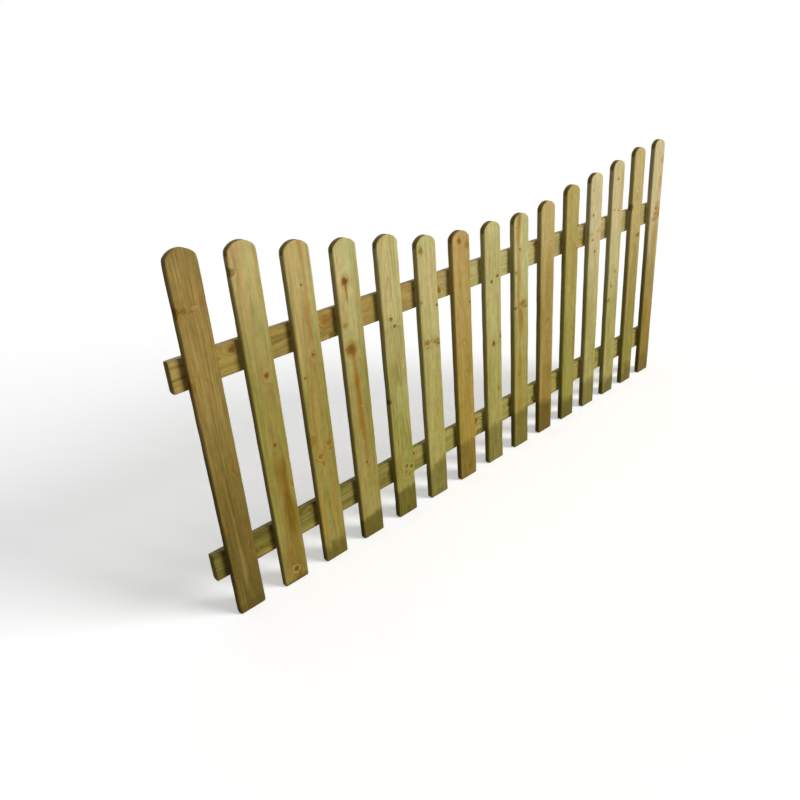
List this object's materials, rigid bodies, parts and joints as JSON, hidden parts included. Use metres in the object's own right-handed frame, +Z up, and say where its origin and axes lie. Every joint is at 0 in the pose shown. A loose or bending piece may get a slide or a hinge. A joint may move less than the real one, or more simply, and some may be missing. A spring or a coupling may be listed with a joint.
{
  "type": "garden fence panel",
  "caption": "Low picket fence panel with a dipped top: round-headed wooden pales fixed to the front of two rails whose bare ends fasten to posts.",
  "frame": {"origin": "upper left fixing point: on the back face of the top rail, in the middle of its bare left end", "axes": "+X along the fence to the right seen from the front, +Y from the front to the back, square to the rail's back face, +Z up"},
  "size_m": [1.8, 0.036, 0.8],
  "materials": {
    "pale_timber": "planed, green pressure-treated softwood",
    "rail_timber": "planed, green pressure-treated softwood",
    "nail_steel": "galvanised, dull"
  },
  "bodies": {
    "root": {"pale_01": "pale_timber", "pale_02": "pale_timber", "pale_03": "pale_timber", "pale_04": "pale_timber", "pale_05": "pale_timber", "pale_06": "pale_timber", "pale_07": "pale_timber", "pale_08": "pale_timber", "pale_09": "pale_timber", "pale_10": "pale_timber", "pale_11": "pale_timber", "pale_12": "pale_timber", "pale_13": "pale_timber", "pale_14": "pale_timber", "pale_15": "pale_timber", "bottom_rail": "rail_timber", "top_rail": "rail_timber"}
  },
  "joints": []
}
